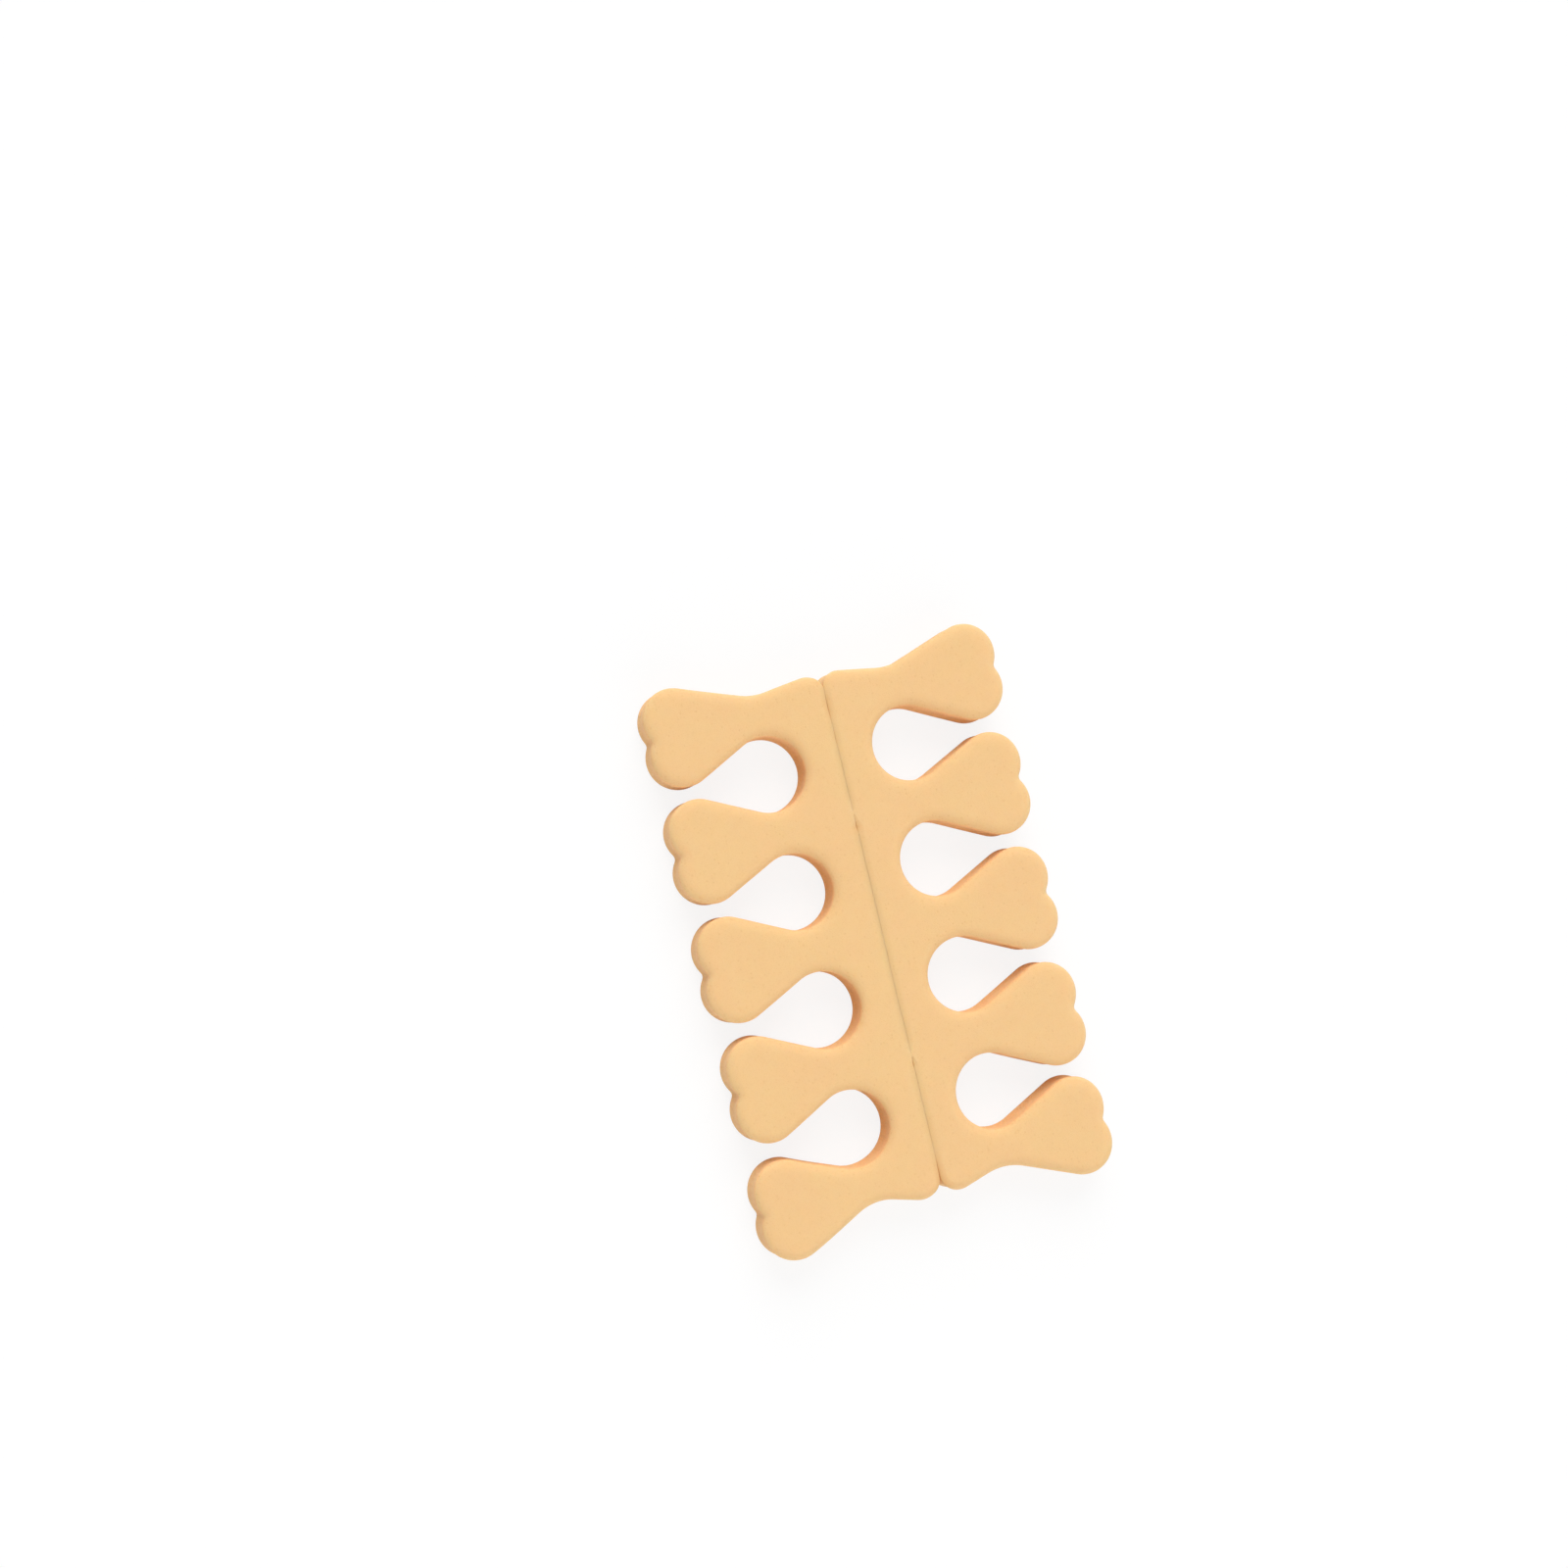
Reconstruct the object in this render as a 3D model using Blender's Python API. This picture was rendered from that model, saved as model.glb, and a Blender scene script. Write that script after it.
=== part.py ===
"""A pair of toe separators, die-cut as one piece from a sheet of soft foam.

The pair lies flat on its back face, with +Z up through the sheet and the origin under its middle.
The seam between the left and the right separator runs along Y. The lobes that go between the toes
point along X, five on each side, with four toe openings between them.

Every stretch of the cut is an arc or the straight line that touches two arcs, so the outline is
written as the circles that it runs round.
"""
import math

import bmesh
import bpy
from mathutils import Vector

MM = 0.001

# The sheet
THICKNESS = 8.0 * MM
EDGE_ROLL = 1.0 * MM            # how far the cut leaves both faces' outer edges rounded over
SEAM_ROLL = 0.35 * MM           # the same along the seam, where the two halves hold each other

# The lobes
LOBE_COUNT = 5
LOBE_PITCH = 19.9 * MM
HEAD_RADIUS = 5.3 * MM          # each of a head's two bumps
CLEFT_RADIUS = 1.0 * MM         # the dip between the two bumps

# The toe openings
SPINE_WIDTH = 6.1 * MM          # from the seam's middle to an opening's round end
HOLE_RADIUS = 6.3 * MM          # the round end
TAPER_LENGTH = 13.2 * MM        # from the round end's centre to the centre of the heads' bumps
MOUTH_GAP = 2.35 * MM           # between two heads at their nearest

# The two ends of the pair, measured from the end lobe's middle line
END_HEAD_REACH = 7.7 * MM       # to the outside of the end lobe's head
END_NECK_REACH = 3.4 * MM       # to the deepest point of the hollow beside its neck
END_HOLLOW_PLACE = 11.0 * MM    # from the seam's middle to that point
END_HOLLOW_RADIUS = 9.2 * MM
SPINE_END_REACH = 4.5 * MM      # to the end of the spine
CORNER_RADIUS = 2.8 * MM        # the spine's corner, beside the seam

# The seam, cut right through except at two short ties
SEAM_GAP = 0.3 * MM
TIE_SPACING = 41.0 * MM
TIE_LENGTH = 1.2 * MM

# How finely the curves are drawn
CHORD_ERROR = 0.05 * MM
ROLL_STEPS = 3

FOAM_COLOUR = (0.879, 0.578, 0.275, 1.0)
FOAM_ROUGHNESS = 0.9

# The two senses in which the outline passes a circle, with the foam always on its left
ROUND = 1                       # the foam fills the circle
HOLLOW = -1                     # the foam lies outside the circle


def clear_scene():
    """Removes whatever objects the file starts with."""
    for item in list(bpy.data.objects):
        bpy.data.objects.remove(item, do_unlink=True)


def tangent_angle(first, second):
    """Direction of the left-hand normal of the line that runs from one circle to the next."""
    (centre_a, radius_a, sense_a), (centre_b, radius_b, sense_b) = first, second
    apart = centre_b - centre_a
    lean = (sense_b * radius_b - sense_a * radius_a) / apart.length
    return math.atan2(apart.y, apart.x) + math.acos(max(-1.0, min(1.0, lean)))


def arc_points(circle, arrive, leave):
    """Points round one circle from one tangent to the next, each with its direction into the foam."""
    centre, radius, sense = circle
    turned = math.pi if sense == ROUND else 0.0
    start = arrive + turned
    sweep = (sense * (leave - arrive)) % (2 * math.pi)
    drawn_radius = radius if sense == ROUND else radius + roll_at(centre.x)
    widest_step = 2 * math.acos(1 - CHORD_ERROR / drawn_radius)
    steps = max(1, math.ceil(sweep / widest_step))
    points = []
    for step in range(steps + 1):
        angle = start + sense * sweep * step / steps
        outwards = Vector((math.cos(angle), math.sin(angle)))
        points.append((centre + radius * outwards, -sense * outwards))
    return points


def roll_at(x):
    """Radius of the rolled edge: it grows from the seam's to the outer edge's round the corner."""
    share = (abs(x) - SEAM_GAP / 2) / CORNER_RADIUS
    share = max(0.0, min(1.0, share))
    return SEAM_ROLL + (EDGE_ROLL - SEAM_ROLL) * share


def outline(circles):
    """The closed line round a ring of circles."""
    count = len(circles)
    angles = [tangent_angle(circles[i], circles[(i + 1) % count]) for i in range(count)]
    points = []
    for i, circle in enumerate(circles):
        points += arc_points(circle, angles[i - 1], angles[i])
    return points


def head_circles(lobe_y, reach_below, reach_above):
    """The two bumps of a lobe's head and the cleft between them, from -Y to +Y."""
    head_x = SPINE_WIDTH + HOLE_RADIUS + TAPER_LENGTH
    low = Vector((head_x, lobe_y - reach_below + HEAD_RADIUS))
    high = Vector((head_x, lobe_y + reach_above - HEAD_RADIUS))
    half_apart = (high - low).length / 2
    touching = HEAD_RADIUS + CLEFT_RADIUS
    cleft = (low + high) / 2 + Vector((math.sqrt(touching ** 2 - half_apart ** 2), 0))
    return [(low, HEAD_RADIUS, ROUND), (cleft, CLEFT_RADIUS, HOLLOW), (high, HEAD_RADIUS, ROUND)]


def end_circles(end):
    """The seam's cut, the spine's corner and the neck's hollow at one end, from the seam outwards."""
    lobe_y = (LOBE_COUNT - 1) / 2 * LOBE_PITCH
    corner = Vector((SEAM_GAP / 2 + CORNER_RADIUS, end * (lobe_y + SPINE_END_REACH - CORNER_RADIUS)))
    hollow = Vector((END_HOLLOW_PLACE, end * (lobe_y + END_NECK_REACH + END_HOLLOW_RADIUS)))
    return [(corner, CORNER_RADIUS, ROUND), (hollow, END_HOLLOW_RADIUS, HOLLOW)]


def right_half():
    """The circles of the right separator, from the seam's -Y end round to its +Y end."""
    circles = end_circles(-1)
    inner_reach = (LOBE_PITCH - MOUTH_GAP) / 2
    for lobe in range(LOBE_COUNT):
        lobe_y = (lobe - (LOBE_COUNT - 1) / 2) * LOBE_PITCH
        below = END_HEAD_REACH if lobe == 0 else inner_reach
        above = END_HEAD_REACH if lobe == LOBE_COUNT - 1 else inner_reach
        circles += head_circles(lobe_y, below, above)
        if lobe < LOBE_COUNT - 1:
            hole = Vector((SPINE_WIDTH + HOLE_RADIUS, lobe_y + LOBE_PITCH / 2))
            circles.append((hole, HOLE_RADIUS, HOLLOW))
    return circles + end_circles(1)[::-1]


def mirrored(circles):
    """The same circles on the seam's other side, still passed with the foam on the left."""
    return [(Vector((-centre.x, centre.y)), radius, sense) for centre, radius, sense in circles][::-1]


def slit_end(y):
    """The round end of a cut along the seam."""
    return (Vector((0, y)), SEAM_GAP / 2, HOLLOW)


def outer_edge():
    """The cut round the whole pair, in by the seam at both ends as far as the ties."""
    tie_end = (TIE_SPACING + TIE_LENGTH) / 2
    right = right_half()
    return outline([slit_end(-tie_end)] + right + [slit_end(tie_end)] + mirrored(right))


def middle_slit():
    """The cut along the seam between the two ties."""
    slit_reach = (TIE_SPACING - TIE_LENGTH) / 2
    return outline([slit_end(slit_reach), slit_end(-slit_reach)])


def ring(mesh, points, turn, top):
    """One closed ring of the rolled edge: turn runs from 0 on the face to a right angle on the wall."""
    verts = []
    for place, inwards in points:
        roll = roll_at(place.x)
        inset = place + inwards * roll * (1 - math.sin(turn))
        depth = roll * (1 - math.cos(turn))
        verts.append(mesh.verts.new((inset.x, inset.y, THICKNESS - depth if top else depth)))
    return [mesh.edges.new((verts[i - 1], verts[i])) for i in range(len(verts))]


def wall(mesh, points):
    """The wall of one cut, rolled at both faces; gives back its lowest and its highest ring."""
    turns = [math.pi / 2 * step / ROLL_STEPS for step in range(ROLL_STEPS + 1)]
    rings = [ring(mesh, points, turn, top=False) for turn in turns]
    rings += [ring(mesh, points, turn, top=True) for turn in reversed(turns)]
    for lower, upper in zip(rings, rings[1:]):
        bmesh.ops.bridge_loops(mesh, edges=lower + upper)
    return rings[0], rings[-1]


def foam_material():
    """Matt skin-coloured foam."""
    material = bpy.data.materials.new("foam")
    material.use_nodes = True
    shader = material.node_tree.nodes["Principled BSDF"]
    shader.inputs["Base Color"].default_value = FOAM_COLOUR
    shader.inputs["Roughness"].default_value = FOAM_ROUGHNESS
    shader.inputs["Metallic"].default_value = 0.0
    return material


def build_pair():
    """The whole pair as one closed solid."""
    mesh = bmesh.new()
    outer_low, outer_high = wall(mesh, outer_edge())
    slit_low, slit_high = wall(mesh, middle_slit())
    bmesh.ops.triangle_fill(mesh, use_beauty=True, edges=outer_low + slit_low)
    bmesh.ops.triangle_fill(mesh, use_beauty=True, edges=outer_high + slit_high)
    bmesh.ops.recalc_face_normals(mesh, faces=mesh.faces)
    data = bpy.data.meshes.new("separator_pair")
    mesh.to_mesh(data)
    mesh.free()
    data.shade_smooth()
    data.set_sharp_from_angle(angle=math.radians(50))
    data.materials.append(foam_material())
    pair = bpy.data.objects.new("separator_pair", data)
    bpy.context.collection.objects.link(pair)
    return pair


clear_scene()
build_pair()
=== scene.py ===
"""A pair of toe separators, die-cut as one piece from a sheet of soft foam, lying on a pale floor.

The pair lies flat on its back face, with +Z up through the sheet and the origin under its middle.
The seam between the left and the right separator runs along Y. The lobes that go between the toes
point along X, five on each side, with four toe openings between them.

Every stretch of the cut is an arc or the straight line that touches two arcs, so the cut is written
as the circles that it runs round, as a die's rule is bent. Sizes are in metres.
"""

import math

import bmesh
import bpy
from mathutils import Matrix, Vector, noise


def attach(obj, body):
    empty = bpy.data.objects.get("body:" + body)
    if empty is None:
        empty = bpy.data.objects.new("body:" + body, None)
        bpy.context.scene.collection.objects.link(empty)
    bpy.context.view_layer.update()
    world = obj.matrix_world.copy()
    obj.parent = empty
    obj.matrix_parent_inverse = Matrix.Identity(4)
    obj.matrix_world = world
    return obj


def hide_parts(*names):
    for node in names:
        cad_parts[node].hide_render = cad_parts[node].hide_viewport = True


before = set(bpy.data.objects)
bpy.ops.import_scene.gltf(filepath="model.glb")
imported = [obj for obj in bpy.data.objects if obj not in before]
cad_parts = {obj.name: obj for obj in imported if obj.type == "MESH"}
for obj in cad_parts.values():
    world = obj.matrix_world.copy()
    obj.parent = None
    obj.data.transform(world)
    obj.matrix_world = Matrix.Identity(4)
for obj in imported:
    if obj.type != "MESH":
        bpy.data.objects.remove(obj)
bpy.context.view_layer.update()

MM = 0.001

# The sheet
THICKNESS = 8.0 * MM

# The lobes
LOBE_COUNT = 5
LOBE_PITCH = 19.9 * MM
HEAD_RADIUS = 5.3 * MM          # each of a head's two bumps
CLEFT_RADIUS = 1.0 * MM         # the dip between the two bumps

# The toe openings
SPINE_WIDTH = 6.1 * MM          # from the seam's middle to an opening's round end
HOLE_RADIUS = 6.3 * MM          # the round end
TAPER_LENGTH = 13.2 * MM        # from the round end's centre to the centre of the heads' bumps
MOUTH_GAP = 2.35 * MM           # between two heads at their nearest

# The two ends of the pair, measured from the end lobe's middle line. -1 is the -Y end
END_HEAD_REACH = 7.7 * MM       # to the outside of the end lobe's head
END_NECK_REACH = {-1: 2.75 * MM, 1: 3.4 * MM}   # to the deepest point of the hollow beside its neck
END_HOLLOW_PLACE = 11.0 * MM    # from the seam's middle to that point
END_HOLLOW_RADIUS = 9.2 * MM
SPINE_END_REACH = 4.5 * MM      # to the end of the spine
CORNER_RADIUS = {-1: 3.2 * MM, 1: 2.8 * MM}     # the spine's corner, beside the seam

# The seam, cut right through except at two short ties
SEAM_GAP = 0.3 * MM
TIE_SPACING = 41.0 * MM
TIE_LENGTH = 1.2 * MM

# The seam as it rests: the two halves press together, and here and there it has worked open a little
CLOSED_GAP = 0.01 * MM
WORN_GAP = 0.15 * MM            # how much wider it is where it is fully open
SEAM_GIVE = 6.0 * MM            # how far from the seam the foam gives to close it

# Where it is open: the place along Y, how far that reaches on both sides, and how open it is
WORN_PLACES = (
    (-42.0 * MM, 5.5 * MM, 1.0),
    (-33.5 * MM, 3.5 * MM, 0.2),
    (-22.1 * MM, 1.0 * MM, 0.7),
    (18.2 * MM, 1.4 * MM, 0.7),
    (33.2 * MM, 1.6 * MM, 0.3),
    (38.4 * MM, 3.2 * MM, 0.6),
)

# The soft edge that the die leaves: a rounded shoulder between each face and the wall
SHOULDER_REACH = 2.1 * MM       # how far in from the wall the face starts to fall away
SHOULDER_DROP = 1.3 * MM        # how far down the wall the rounding ends
SHOULDER_FULL = 2.8 * MM        # how far from the seam it has its full size
SHOULDER_SQUARENESS = 2.1       # 2 is round, and 1 is a flat slope
SHOULDER_STEPS = 8

# The same beside the seam, where it is a shallow crease
SEAM_REACH = 1.0 * MM
TIE_REACH = 0.3 * MM            # its reach at the ties
TIE_EASE = 2.6 * MM             # how far from a tie's middle it has its full reach
SEAM_DROP = 0.15 * MM
WORN_DROP = 0.3 * MM            # how much deeper it is where the seam is fully open
SEAM_SQUARENESS = 1.1

# The cut wall between the two shoulders
WAIST = 0.18 * MM               # how far it draws in half way down
WALL_STEPS = 8

# How the cut wall's orange (partly painted bounce light) and the crease's painted shade grow over the
# shoulder, as powers of the turn down to the wall
CUT_GROWTH = 2                  # the cut wall's
CREASE_GROWTH = 1.5             # the crease's painted shade, beside the seam
CLOSED_CREASE_SHADE = 0.42              # how strong the crease's painted shade is where the seam is closed

# The foam's softness: the faces are never quite even, and the lobes never quite straight
SWELL = 0.05 * MM
SWELL_SIZE = 11.0 * MM
SWELL_START = 0.5               # how high in the sheet it begins, as a share of the thickness
WANDER = 0.1 * MM
WANDER_SIZE = 13.0 * MM
WANDER_SEED = 3                 # keeps the wander the same each time
LEAN_START = 8.0 * MM           # from the seam's middle to where a lobe starts to lean
LEAN_FULL = 24.0 * MM

# How far a lobe's head leans along X and Y, by side (-1 is -X) and place from -Y
LEAN = {
    (-1, 0): Vector((0.0, -0.8, 0)) * MM,
    (-1, 1): Vector((0.2, -0.2, 0)) * MM,
    (-1, 4): Vector((0.0, -0.2, 0)) * MM,
    (1, 1): Vector((0.0, -0.15, 0)) * MM,
}

# How finely the foam is drawn
CUT_SPACING = 0.45 * MM
SEAM_SPACING = 0.6 * MM
STRAIGHT_SPACING = 0.9 * MM
FEWEST_ARC_STEPS = 3
FACE_SPACING = 1.6 * MM
FACE_REACH_X = 31.0 * MM        # how far from the middle the faces are cut into squares
FACE_REACH_Y = 48.0 * MM
FACE_SNAP = 0.02 * MM           # points this near to a square's edge are taken to lie on it
WELD_SPACING = 0.0005 * MM      # points this near to each other become one

# What is noted at each point of the cut for its shoulder: how far it is from the seam and from a tie,
# each from 0 to 1, and how far the seam has worked open there
SHOULDER_NOTES = ("outside", "grown", "worn")

# The two senses in which the cut passes a circle, with the foam always on its left
ROUND = 1                       # the foam fills the circle
HOLLOW = -1                     # the foam lies outside the circle

# Foam colours, as red, green and blue
FOAM = (0.872, 0.584, 0.28)
FOAM_PEACH = (0.88, 0.562, 0.279)
# Painted shade for the cells' pits, also used for the random darker specks.
FOAM_PIT_SHADE_AND_SPECKS = (0.70, 0.38, 0.155)
FOAM_PALE = (0.93, 0.64, 0.325)
# The cut wall's orange: partly the open cut's own deeper tone, partly painted orange bounce light and
# shade.
FOAM_CUT_AND_BOUNCE = (0.965, 0.495, 0.2)
# Painted shade in the seam's crease, darker than the cut wall.
FOAM_CREASE_SHADE = (0.77, 0.42, 0.165)
WHITE = (1.0, 1.0, 1.0)

# The foam's cells: how many to a metre, how scattered they are, and what share of them is open
FINE_CELLS = 4200.0
FINE_OPEN = 0.75
COARSE_CELLS = 1900.0
COARSE_OPEN = (0.14, 0.75)      # on the faces and on the cut wall
CELL_SCATTER = 0.9

# Across one cell: from a pit's edge to its floor, and how thick the walls between cells are
PIT_EDGE = 0.46
PIT_FLOOR = 0.1
CELL_WALL = 0.14

# How strongly the cells colour the faces and the cut wall: painted shade in the pits, and paler rims
FINE_PITS = (0.18, 0.3)
COARSE_PITS = (0.16, 0.32)
CELL_RIMS = (0.06, 0.4)

# The patches that vary the foam, and the lines that the die drags down the wall: how many to a metre
DRIFT_FINENESS = 85.0
PATCH_FINENESS = 480.0
SPECK_FINENESS = 2600.0
DRAG_FINENESS = 2300.0
DRAG_STRETCH = (1, 1, 0.07)     # how the lines are drawn out along Z

# The most that each colour takes of what it is mixed into
MOST_PEACH = 0.55
MOST_PALE = 0.16
MOST_CUT_AND_BOUNCE = 0.9
MOST_SPECKS = 0.1

# The foam's surface: how high its unevenness is, what share of that each feature has, and how deep
# light goes into the foam
BUMP_HEIGHT = 0.07 * MM
BUMP_STRENGTH = 0.4
FINE_PIT_HEIGHT = -0.6
COARSE_PIT_HEIGHT = -1.0
GRAIN_HEIGHT = 0.5
DRAG_HEIGHT = 1.6
SCATTER_DEPTH = 1.5 * MM

# The floor
FLOOR_REACH = 4.0               # from its middle to its edges
FLOOR_GREY = (0.85, 0.85, 0.85)
PAPER_SHARE = 0.85              # how much of the seen floor is plain white, so that shadows stay light

# The lamps: where their light comes from, their strength and how wide they look in degrees
MAIN_LAMP = ((0.12, 0.785, 0.61), 2.14, 50)
LOW_LAMP = ((0.1, -0.935, 0.34), 1.5, 70)
ROOM_STRENGTH = 0.45            # how strongly the white room lights the pair

# The camera: its place, the way it looks, the way that is up in the picture, and its lens and film
CAMERA_PLACE = Vector((-94.04, 15.38, 363.78)) * MM
CAMERA_FORWARD = Vector((0.2287, 0.0337, -0.9729))
CAMERA_UP = Vector((0.2179, 0.9723, 0.0849))
CAMERA_LENS = 50.95             # in millimetres, and so is the film's width
CAMERA_FILM = 36.0


def tangent_angle(first, second):
    """Direction of the left-hand normal of the line that runs from one circle to the next."""
    (centre_a, radius_a, sense_a), (centre_b, radius_b, sense_b) = first, second
    apart = centre_b - centre_a
    lean = (sense_b * radius_b - sense_a * radius_a) / apart.length
    return math.atan2(apart.y, apart.x) + math.acos(max(-1.0, min(1.0, lean)))


def head_circles(lobe_y, reach_below, reach_above):
    """The two bumps of a lobe's head and the cleft between them, from -Y to +Y."""
    head_x = SPINE_WIDTH + HOLE_RADIUS + TAPER_LENGTH
    low = Vector((head_x, lobe_y - reach_below + HEAD_RADIUS))
    high = Vector((head_x, lobe_y + reach_above - HEAD_RADIUS))
    half_apart = (high - low).length / 2
    touching = HEAD_RADIUS + CLEFT_RADIUS
    cleft = (low + high) / 2 + Vector((math.sqrt(touching ** 2 - half_apart ** 2), 0))
    return [(low, HEAD_RADIUS, ROUND), (cleft, CLEFT_RADIUS, HOLLOW), (high, HEAD_RADIUS, ROUND)]


def end_circles(end):
    """The spine's corner and the neck's hollow at one end, from the seam outwards."""
    lobe_y = (LOBE_COUNT - 1) / 2 * LOBE_PITCH
    radius = CORNER_RADIUS[end]
    corner = Vector((SEAM_GAP / 2 + radius, end * (lobe_y + SPINE_END_REACH - radius)))
    hollow = Vector((END_HOLLOW_PLACE, end * (lobe_y + END_NECK_REACH[end] + END_HOLLOW_RADIUS)))
    return [(corner, radius, ROUND), (hollow, END_HOLLOW_RADIUS, HOLLOW)]


def right_half():
    """The circles of the right separator, from the seam's -Y end round to its +Y end."""
    circles = end_circles(-1)
    inner_reach = (LOBE_PITCH - MOUTH_GAP) / 2
    for lobe in range(LOBE_COUNT):
        lobe_y = (lobe - (LOBE_COUNT - 1) / 2) * LOBE_PITCH
        below = END_HEAD_REACH if lobe == 0 else inner_reach
        above = END_HEAD_REACH if lobe == LOBE_COUNT - 1 else inner_reach
        circles += head_circles(lobe_y, below, above)
        if lobe < LOBE_COUNT - 1:
            hole = Vector((SPINE_WIDTH + HOLE_RADIUS, lobe_y + LOBE_PITCH / 2))
            circles.append((hole, HOLE_RADIUS, HOLLOW))
    return circles + end_circles(1)[::-1]


def mirrored(circles):
    """The same circles on the seam's other side, still passed with the foam on the left."""
    return [(Vector((-centre.x, centre.y)), radius, sense) for centre, radius, sense in circles][::-1]


def slit_end(y):
    """The round end of a cut along the seam."""
    return (Vector((0, y)), SEAM_GAP / 2, HOLLOW)


def outer_cut():
    """The cut round the whole pair, in by the seam at both ends as far as the ties."""
    tie_end = (TIE_SPACING + TIE_LENGTH) / 2
    right = right_half()
    return [slit_end(-tie_end)] + right + [slit_end(tie_end)] + mirrored(right)


def middle_slit():
    """The cut along the seam between the two ties."""
    slit_reach = (TIE_SPACING - TIE_LENGTH) / 2
    return [slit_end(slit_reach), slit_end(-slit_reach)]


def smooth_step(low, high, value):
    """Eases from 0 at low to 1 at high."""
    share = max(0.0, min(1.0, (value - low) / (high - low)))
    return share * share * (3 - 2 * share)


def bend_rule(mesh, layers, circles):
    """Bends the die's rule round a ring of circles, and notes at each point which way the foam lies."""
    count = len(circles)
    angles = [tangent_angle(circles[i], circles[(i + 1) % count]) for i in range(count)]
    ends = []
    for i, (centre, radius, sense) in enumerate(circles):
        start = angles[i - 1] + (math.pi if sense == ROUND else 0.0)
        sweep = (sense * (angles[i] - angles[i - 1])) % (2 * math.pi)
        steps = max(FEWEST_ARC_STEPS, math.ceil(sweep * radius / CUT_SPACING))
        pivot = centre.to_3d()
        drawn_before = len(mesh.verts)
        first = mesh.verts.new(pivot + radius * Vector((math.cos(start), math.sin(start), 0)))
        swept = bmesh.ops.spin(mesh, geom=[first], cent=pivot, axis=(0, 0, 1),
                               angle=sense * sweep, steps=steps)
        last = next(item for item in swept["geom_last"] if isinstance(item, bmesh.types.BMVert))
        mesh.verts.ensure_lookup_table()
        for point in mesh.verts[drawn_before:]:
            point[layers["into_foam"]] = -sense * (point.co - pivot).normalized()
        ends.append((first, last))
    straights = [mesh.edges.new((ends[i - 1][1], ends[i][0])) for i in range(count)]
    for straight in straights:
        on_seam = all(abs(point.co.x) < SEAM_GAP for point in straight.verts)
        spacing = SEAM_SPACING if on_seam else STRAIGHT_SPACING
        cuts = math.ceil(straight.calc_length() / spacing) - 1
        if cuts > 0:
            bmesh.ops.subdivide_edges(mesh, edges=[straight], cuts=cuts)


def between(low, high, share):
    """The value at a share of the way from low to high."""
    return low + (high - low) * share


def wall_rings():
    """The rings up the wall, each as its turn from a face to the wall and its place up the wall."""
    lower = [(step / SHOULDER_STEPS, 0.0) for step in range(SHOULDER_STEPS + 1)]
    wall = [(1.0, step / WALL_STEPS) for step in range(1, WALL_STEPS)]
    upper = [(turn, 1.0) for turn, _ in reversed(lower)]
    return lower + wall + upper


def worn_open(y):
    """How far the seam has worked open there: 0 where it is closed, and 1 at most."""
    worn = 0.0
    for place, reach, share in WORN_PLACES:
        worn += share * (1 - smooth_step(0, reach, abs(y - place)))
    return worn


def ring_place(ring, outside, grown, worn):
    """How far in from the cut and how high a ring lies, where the shoulder has these three notes."""
    turn, up = ring
    reach = between(between(TIE_REACH, SEAM_REACH, grown), SHOULDER_REACH, outside)
    drop = between(SEAM_DROP + WORN_DROP * worn, SHOULDER_DROP, outside)
    power = 2 / between(SEAM_SQUARENESS, SHOULDER_SQUARENESS, outside)
    angle = math.pi / 2 * turn
    inset = reach * (1 - math.sin(angle) ** power) + WAIST * math.sin(math.pi * up) ** 2
    depth = drop * (1 - abs(math.cos(angle)) ** power)
    return inset, between(depth, THICKNESS - depth, up)


def shoulder_at(point, layers):
    """What was noted at a point for its shoulder."""
    return [point[layers[name]] for name in SHOULDER_NOTES]


def cut_face(mesh, layers):
    """The flat of the back face inside its shoulder, cut into even squares so that it can be soft."""
    for point in mesh.verts:
        from_tie = abs(abs(point.co.y) - TIE_SPACING / 2)
        point[layers["grown"]] = smooth_step(TIE_LENGTH / 2, TIE_EASE, from_tie)
        point[layers["outside"]] = smooth_step(SEAM_GAP / 2, SHOULDER_FULL, abs(point.co.x))
        point[layers["worn"]] = worn_open(point.co.y)
        inset, _ = ring_place((0.0, 0.0), *shoulder_at(point, layers))
        point.co += inset * point[layers["into_foam"]]
    bmesh.ops.triangle_fill(mesh, use_beauty=True, edges=mesh.edges[:])
    for axis, reach in ((Vector((1, 0, 0)), FACE_REACH_X), (Vector((0, 1, 0)), FACE_REACH_Y)):
        cuts = math.ceil(2 * reach / FACE_SPACING)
        for i in range(cuts):
            place = axis * (-reach + (i + 0.5) * 2 * reach / cuts)
            whole = mesh.verts[:] + mesh.edges[:] + mesh.faces[:]
            bmesh.ops.bisect_plane(mesh, geom=whole, dist=FACE_SNAP, plane_co=place, plane_no=axis)


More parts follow.
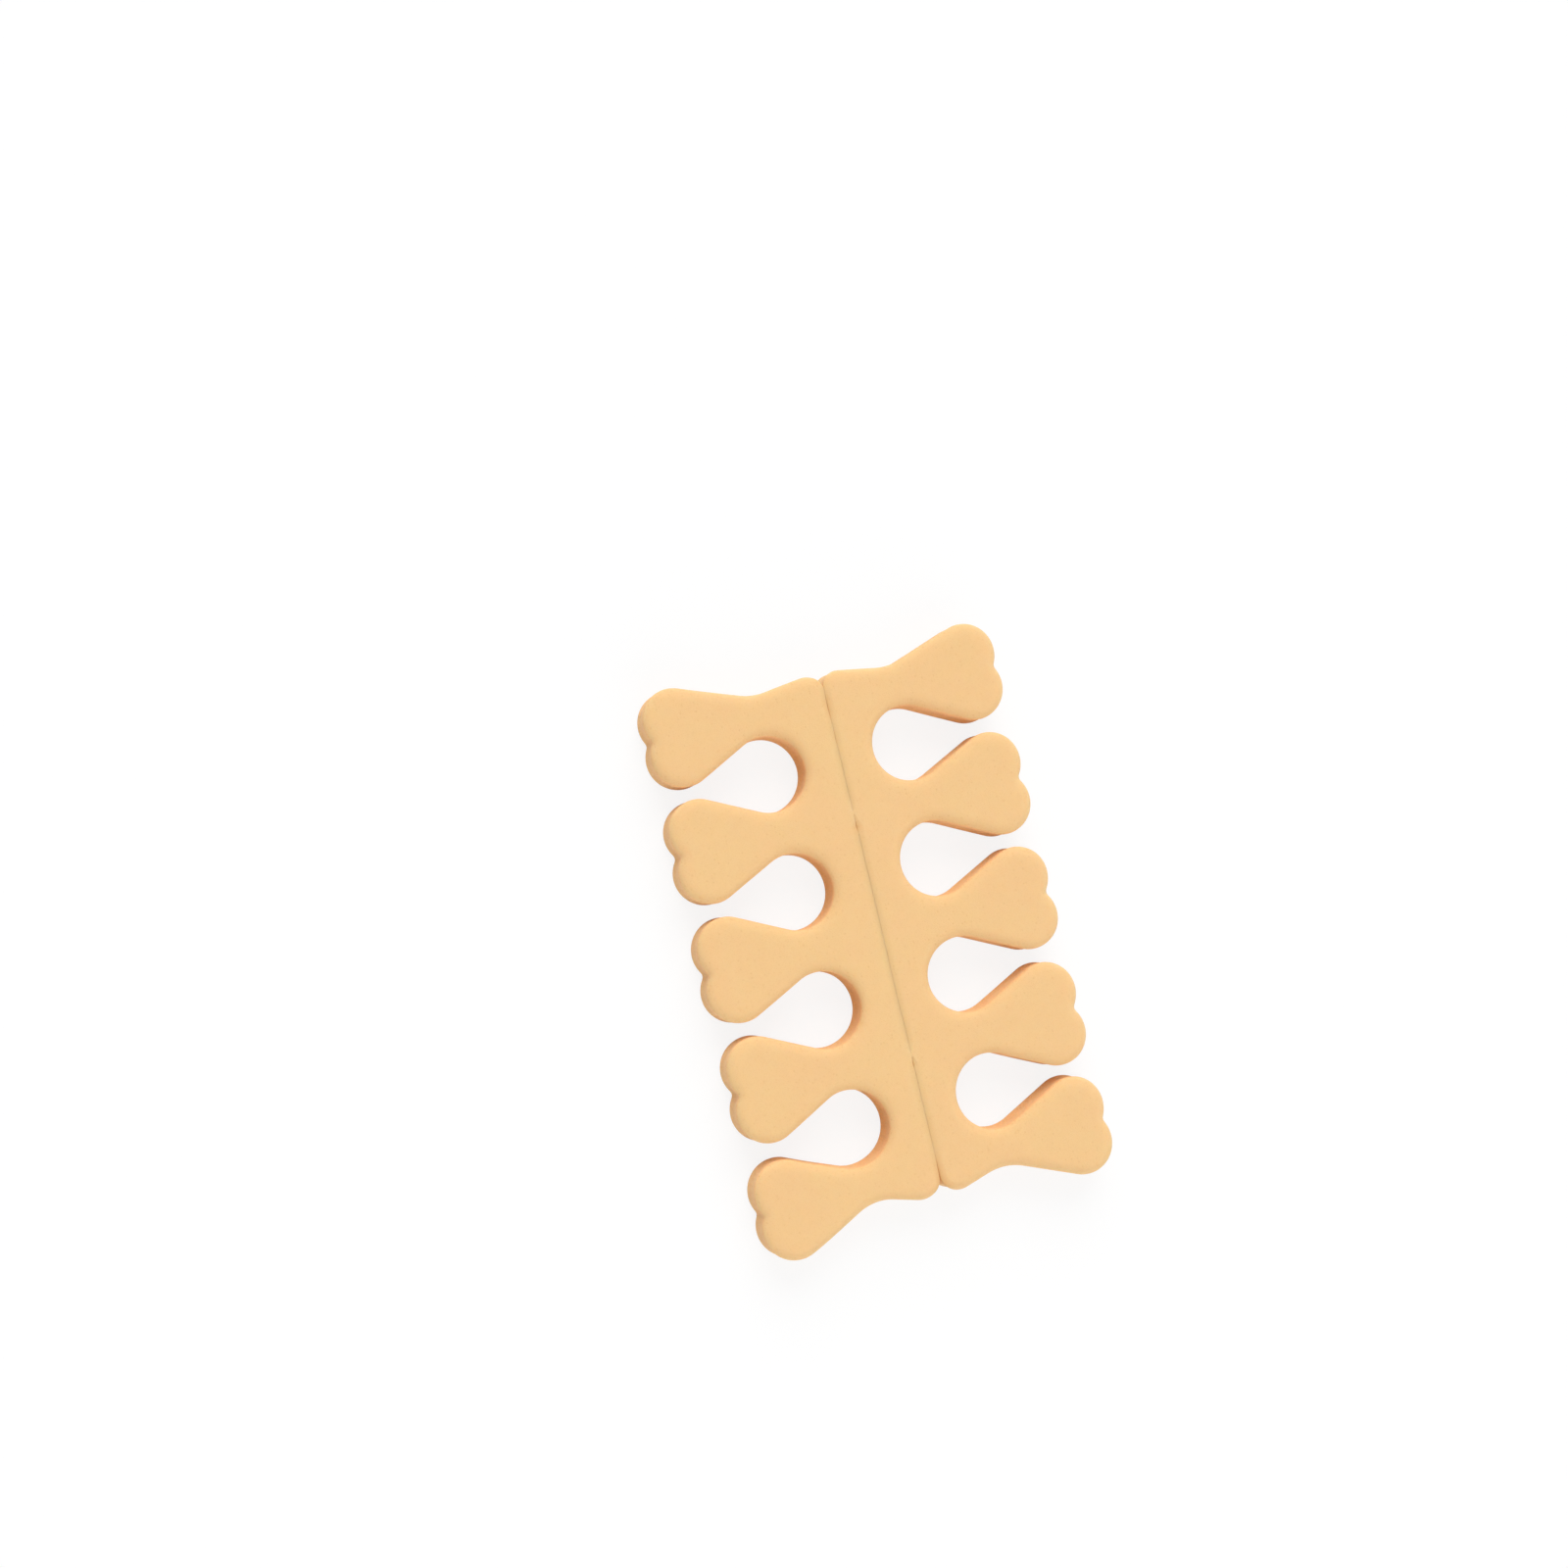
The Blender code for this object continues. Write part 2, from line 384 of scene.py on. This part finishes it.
def raise_wall(mesh, layers):
    """Draws the wall up from the back face's edge and closes it with the front face."""
    back = mesh.verts[:] + mesh.edges[:] + mesh.faces[:]
    edge = [line for line in mesh.edges if len(line.link_faces) == 1]
    front = bmesh.ops.duplicate(mesh, geom=back)["geom"]
    front_points = [item for item in front if isinstance(item, bmesh.types.BMVert)]
    bmesh.ops.translate(mesh, verts=front_points, vec=(0, 0, THICKNESS))
    rings = wall_rings()
    for below, ring in zip(rings, rings[1:]):
        drawn = bmesh.ops.extrude_edge_only(mesh, edges=edge)["geom"]
        edge = [item for item in drawn if isinstance(item, bmesh.types.BMEdge)]
        for point in (item for item in drawn if isinstance(item, bmesh.types.BMVert)):
            outside, grown, worn = shoulder_at(point, layers)
            inset_before, _ = ring_place(below, outside, grown, worn)
            inset, height = ring_place(ring, outside, grown, worn)
            point.co += (inset - inset_before) * point[layers["into_foam"]]
            point.co.z = height
            turn, _ = ring
            # cut says how far onto the cut wall a point lies; the wall's orange, partly painted bounce
            # light, follows it.
            point[layers["cut"]] = turn ** CUT_GROWTH * outside
            # crease says where painted shade darkens the seam's crease, deeper where the seam is worn
            # open.
            point[layers["crease"]] = (turn ** CREASE_GROWTH * (1 - outside) * grown
                                       * between(CLOSED_CREASE_SHADE, 1, worn))
    bmesh.ops.remove_doubles(mesh, verts=mesh.verts, dist=WELD_SPACING)


def close_seam(point):
    """Moves one point as the foam gives when the two halves press together along the seam."""
    gap = CLOSED_GAP + WORN_GAP * worn_open(point.co.y)
    side = abs(point.co.x)
    if side < SEAM_GAP / 2:
        side *= gap / SEAM_GAP
    elif side < SEAM_GIVE:
        side = SEAM_GIVE - (SEAM_GIVE - side) * (SEAM_GIVE - gap / 2) / (SEAM_GIVE - SEAM_GAP / 2)
    point.co.x = math.copysign(side, point.co.x)


def lean(point):
    """Moves one point as its lobe leans, and as the whole cut wanders a little."""
    side = 1 if point.co.x > 0 else -1
    lobe = round(point.co.y / LOBE_PITCH + (LOBE_COUNT - 1) / 2)
    lobe = max(0, min(LOBE_COUNT - 1, lobe))
    share = smooth_step(LEAN_START, LEAN_FULL, abs(point.co.x))
    wander = noise.noise_vector(Vector((point.co.x, point.co.y, 0)) / WANDER_SIZE)
    point.co += LEAN.get((side, lobe), Vector()) * share
    point.co += WANDER * Vector((wander.x, wander.y, 0))


def swell(point):
    """Lets the front face rise and fall a little, as soft foam does."""
    high = smooth_step(SWELL_START, 1.0, point.co.z / THICKNESS)
    drift = noise.noise(Vector((point.co.x, point.co.y, 0)) / SWELL_SIZE)
    point.co.z += (SWELL * drift - SWELL / 2) * high


def foam_sheet():
    """The pair's foam, cut from the sheet."""
    mesh = bmesh.new()
    mesh.verts.layers.float_vector.new("into_foam")
    notes = SHOULDER_NOTES + ("cut", "crease")
    for name in notes:
        mesh.verts.layers.float.new(name)
    layers = {name: mesh.verts.layers.float[name] for name in notes}
    layers["into_foam"] = mesh.verts.layers.float_vector["into_foam"]
    for circles in (outer_cut(), middle_slit()):
        bend_rule(mesh, layers, circles)
    cut_face(mesh, layers)
    raise_wall(mesh, layers)
    noise.seed_set(WANDER_SEED)
    for point in mesh.verts:
        close_seam(point)
        lean(point)
        swell(point)
    mesh.verts.layers.float_vector.remove(mesh.verts.layers.float_vector["into_foam"])
    for name in SHOULDER_NOTES:
        mesh.verts.layers.float.remove(mesh.verts.layers.float[name])
    bmesh.ops.recalc_face_normals(mesh, faces=mesh.faces)
    return mesh


class Bench:
    """Lays out shader nodes from left to right and joins them."""

    COLUMN_WIDTH = 190

    def __init__(self, tree):
        self.tree = tree
        self.column = 0

    def node(self, kind, label, values=(), **settings):
        """Adds a node. values maps its inputs' names or numbers to a value or another node's output."""
        made = self.tree.nodes.new(kind)
        made.label = label
        made.location = (self.column, 0)
        self.column += self.COLUMN_WIDTH
        for name, value in settings.items():
            setattr(made, name, value)
        for name, value in dict(values).items():
            if isinstance(value, bpy.types.NodeSocket):
                self.tree.links.new(value, made.inputs[name])
            else:
                made.inputs[name].default_value = value
        return made

    def math(self, operation, a, b=0.5, c=0.5, label="", clamp=False):
        """A sum on numbers."""
        made = self.node("ShaderNodeMath", label or operation.lower(), {0: a, 1: b, 2: c},
                         operation=operation, use_clamp=clamp)
        return made.outputs[0]

    def between(self, value, low, high, label, to_low=0.0, to_high=1.0):
        """Eases a value from to_low at low to to_high at high."""
        ends = {"Value": value, "From Min": low, "From Max": high, "To Min": to_low, "To Max": to_high}
        made = self.node("ShaderNodeMapRange", label, ends, interpolation_type="SMOOTHSTEP")
        return made.outputs["Result"]

    def mix(self, share, first, second, label):
        """Mixes two colours."""
        made = self.node("ShaderNodeMix", label, {0: share, 6: first, 7: second}, data_type="RGBA")
        return made.outputs[2]

    def cloud(self, place, fineness, detail, label):
        """Soft random patches, from 0 to 1."""
        made = self.node("ShaderNodeTexNoise", label, {
            "Vector": place, "Scale": fineness, "Detail": detail, "Roughness": 0.6})
        return made.outputs["Fac"]


def empty_bench(owner):
    """A bench for the nodes of a material or a world, which are cleared first."""
    owner.use_nodes = True
    owner.node_tree.nodes.clear()
    return Bench(owner.node_tree)


def cell_group():
    """Foam cells of one size: how far a point lies down a pit, and how near it is to a cell's wall."""
    group = bpy.data.node_groups.new("foam_cells", "ShaderNodeTree")
    group.interface.new_socket("Place", in_out="INPUT", socket_type="NodeSocketVector")
    group.interface.new_socket("Fineness", in_out="INPUT", socket_type="NodeSocketFloat")
    group.interface.new_socket("Open share", in_out="INPUT", socket_type="NodeSocketFloat")
    group.interface.new_socket("Pit", in_out="OUTPUT", socket_type="NodeSocketFloat")
    group.interface.new_socket("Wall", in_out="OUTPUT", socket_type="NodeSocketFloat")
    bench = Bench(group)
    given = bench.node("NodeGroupInput", "given").outputs
    layout = {"Vector": given["Place"], "Scale": given["Fineness"], "Randomness": CELL_SCATTER}
    cells = bench.node("ShaderNodeTexVoronoi", "cells", layout, feature="F1")
    chance = bench.node("ShaderNodeSeparateColor", "chance", {"Color": cells.outputs["Color"]})
    is_open = bench.math("LESS_THAN", chance.outputs[0], given["Open share"], label="open cells")
    depth = bench.between(cells.outputs["Distance"], PIT_EDGE, PIT_FLOOR, "pit's depth")
    pit = bench.math("MULTIPLY", depth, is_open, label="pit")
    walls = bench.node("ShaderNodeTexVoronoi", "cell walls", layout, feature="DISTANCE_TO_EDGE")
    wall = bench.between(walls.outputs["Distance"], CELL_WALL, 0.0, "thin walls")
    bench.node("NodeGroupOutput", "found", {"Pit": pit, "Wall": wall})
    return group


def rgba(colour):
    """A colour with full cover."""
    return (*colour, 1.0)


def foam_material():
    """Matt foam: a smooth skin on the faces, and open cells and faint drag lines on the cut wall."""
    material = bpy.data.materials.new("foam")
    bench = empty_bench(material)
    place = bench.node("ShaderNodeTexCoord", "place").outputs["Object"]
    cut = bench.node("ShaderNodeAttribute", "cut", attribute_name="cut").outputs["Fac"]
    crease = bench.node("ShaderNodeAttribute", "crease", attribute_name="crease").outputs["Fac"]
    on_wall = bench.between(cut, 0.4, 1.0, "on the cut wall")

    cells = cell_group()
    fine = bench.node("ShaderNodeGroup", "fine cells", {
        "Place": place, "Fineness": FINE_CELLS, "Open share": FINE_OPEN}, node_tree=cells).outputs
    opened = bench.between(cut, 0.0, 1.0, "more open on the cut", *COARSE_OPEN)
    coarse = bench.node("ShaderNodeGroup", "coarse cells", {
        "Place": place, "Fineness": COARSE_CELLS, "Open share": opened}, node_tree=cells).outputs

    drift = bench.cloud(place, DRIFT_FINENESS, 3.0, "slow drift")
    patch = bench.cloud(place, PATCH_FINENESS, 4.0, "patches")
    speck = bench.cloud(place, SPECK_FINENESS, 2.0, "specks")
    pulled = bench.node("ShaderNodeMapping", "drawn out down the wall", {
        "Vector": place, "Scale": DRAG_STRETCH})
    drag = bench.cloud(pulled.outputs["Vector"], DRAG_FINENESS, 2.0, "drag lines")

    peach = bench.between(drift, 0.35, 0.65, "peach share", 0.0, MOST_PEACH)
    colour = bench.mix(peach, rgba(FOAM), rgba(FOAM_PEACH), "foam and peach")
    pale = bench.between(patch, 0.3, 0.75, "pale share", 0.0, MOST_PALE)
    colour = bench.mix(pale, colour, rgba(FOAM_PALE), "pale patches")
    # The cut wall's orange, partly its own tone and partly painted bounce light and shade, is mixed in
    # on the wall.
    cut_and_bounce_share = bench.math("MULTIPLY", on_wall, MOST_CUT_AND_BOUNCE, label="wall share")
    colour = bench.mix(cut_and_bounce_share, colour, rgba(FOAM_CUT_AND_BOUNCE), "cut wall")
    # Painted shade in the seam's crease, stronger where the seam has worked open.
    colour = bench.mix(crease, colour, rgba(FOAM_CREASE_SHADE), "painted shade along the seam")
    fine_share = bench.between(cut, 0.0, 1.0, "fine pit strength", *FINE_PITS)
    coarse_share = bench.between(cut, 0.0, 1.0, "coarse pit strength", *COARSE_PITS)
    # The pits are darkened by their depth as painted shade; random specks are added to the same share.
    pits = bench.math("MULTIPLY", fine["Pit"], fine_share, label="fine pits")
    pits = bench.math("MULTIPLY_ADD", coarse["Pit"], coarse_share, pits, "all pits")
    rim_share = bench.between(cut, 0.0, 1.0, "cell rim strength", *CELL_RIMS)
    rims = bench.math("MAXIMUM", fine["Wall"], coarse["Wall"], label="cell rims")
    rims = bench.math("MULTIPLY", rims, rim_share, label="rims by place")
    colour = bench.mix(rims, colour, rgba(FOAM_PALE), "pale cell rims")
    specks = bench.between(speck, 0.55, 0.8, "speck share", 0.0, MOST_SPECKS)
    pits = bench.math("ADD", pits, specks, label="pits and specks", clamp=True)
    colour = bench.mix(pits, colour, rgba(FOAM_PIT_SHADE_AND_SPECKS), "pitted foam")

    skin = bench.math("MULTIPLY", fine["Pit"], FINE_PIT_HEIGHT, label="fine pit depth")
    skin = bench.math("MULTIPLY_ADD", coarse["Pit"], COARSE_PIT_HEIGHT, skin, "all pit depth")
    skin = bench.math("MULTIPLY_ADD", speck, GRAIN_HEIGHT, skin, "grain")
    skin = bench.math("ADD", rims, skin, label="raised rims")
    dragged = bench.math("MULTIPLY", drag, on_wall, label="drag on the wall")
    skin = bench.math("MULTIPLY_ADD", dragged, DRAG_HEIGHT, skin, "surface height")
    bump = bench.node("ShaderNodeBump", "foam surface", {
        "Height": skin, "Strength": BUMP_STRENGTH, "Distance": BUMP_HEIGHT})
    rough = bench.between(patch, 0.3, 0.7, "roughness drift", 0.84, 0.95)
    shader = bench.node("ShaderNodeBsdfPrincipled", "foam", {
        "Base Color": colour, "Roughness": rough, "Metallic": 0.0, "Specular IOR Level": 0.25,
        "Subsurface Weight": 0.45, "Subsurface Radius": (1.0, 0.75, 0.5),
        "Subsurface Scale": SCATTER_DEPTH,
        "Sheen Weight": 0.1, "Sheen Roughness": 0.5, "Sheen Tint": (1.0, 0.92, 0.85, 1),
        "Normal": bump.outputs["Normal"]})
    bench.node("ShaderNodeOutputMaterial", "out", {"Surface": shader.outputs[0]})
    return material


def add_object(name, data):
    """Puts a new object in the scene."""
    made = bpy.data.objects.new(name, data)
    bpy.context.collection.objects.link(made)
    return made


def add_mesh(name, mesh, material):
    """Puts a finished mesh in the scene as a new object."""
    data = bpy.data.meshes.new(name)
    mesh.to_mesh(data)
    mesh.free()
    data.materials.append(material)
    return add_object(name, data)


def make_pair():
    """The foam pair as one piece."""
    pair = add_mesh("foam_pair", foam_sheet(), foam_material())
    pair.data.shade_smooth()
    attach(pair, "root")
    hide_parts("separator_pair")


def seen_by_eye(bench):
    """1 for what the camera sees, straight or in gloss or through glass, and 0 for what only lights."""
    rays = bench.node("ShaderNodeLightPath", "rays").outputs
    seen = bench.math("MAXIMUM", rays["Is Camera Ray"], rays["Is Glossy Ray"])
    return bench.math("MAXIMUM", seen, rays["Is Transmission Ray"], label="seen")


def floor_material():
    """A pale matt floor that the camera sees as white, with a light shadow."""
    material = bpy.data.materials.new("pale_floor")
    bench = empty_bench(material)
    seen = seen_by_eye(bench)
    matt = bench.node("ShaderNodeBsdfDiffuse", "lighting floor", {"Color": rgba(FLOOR_GREY)})
    shaded = bench.node("ShaderNodeBsdfDiffuse", "seen floor", {"Color": rgba(WHITE)})
    glow = bench.node("ShaderNodeEmission", "white paper", {"Color": rgba(WHITE), "Strength": 1.0})
    paper = bench.node("ShaderNodeMixShader", "light shadow", {
        0: PAPER_SHARE, 1: shaded.outputs[0], 2: glow.outputs[0]})
    both = bench.node("ShaderNodeMixShader", "seen or lighting", {
        0: seen, 1: matt.outputs[0], 2: paper.outputs[0]})
    bench.node("ShaderNodeOutputMaterial", "out", {"Surface": both.outputs[0]})
    return material


def make_floor():
    """A wide flat floor under the pair."""
    mesh = bmesh.new()
    bmesh.ops.create_grid(mesh, x_segments=1, y_segments=1, size=FLOOR_REACH)
    floor = add_mesh("floor", mesh, floor_material())


def lamp(name, towards, strength, softness):
    """A far lamp, with light from the given direction. softness is how wide it looks in degrees."""
    data = bpy.data.lights.new(name, "SUN")
    data.energy = strength
    data.angle = math.radians(softness)
    made = add_object(name, data)
    made.rotation_euler = Vector(towards).to_track_quat("Z", "Y").to_euler()


def light_studio():
    """Plain soft light: a wide lamp beyond the +Y end, a low one beyond the -Y end, and a white room."""
    lamp("main_lamp", *MAIN_LAMP)
    lamp("low_lamp", *LOW_LAMP)
    world = bpy.data.worlds.new("white_room")
    bpy.context.scene.world = world
    bench = empty_bench(world)
    seen = seen_by_eye(bench)
    strength = bench.between(seen, 0.0, 1.0, "white to the camera", ROOM_STRENGTH, 1.0)
    room = bench.node("ShaderNodeBackground", "room", {"Color": rgba(WHITE), "Strength": strength})
    bench.node("ShaderNodeOutputWorld", "out", {"Surface": room.outputs[0]})


def set_camera():
    """The photograph's view: from a little left of straight above, turned with the pair."""
    data = bpy.data.cameras.new("camera")
    data.sensor_width = CAMERA_FILM
    data.lens = CAMERA_LENS
    camera = add_object("camera", data)
    back = -CAMERA_FORWARD.normalized()
    up = (CAMERA_UP - CAMERA_UP.dot(back) * back).normalized()
    turn = Matrix((up.cross(back), up, back)).transposed().to_4x4()
    camera.matrix_world = Matrix.Translation(CAMERA_PLACE) @ turn
    bpy.context.scene.camera = camera


make_pair()
make_floor()
light_studio()
set_camera()
bpy.context.scene.view_settings.view_transform = "Standard"
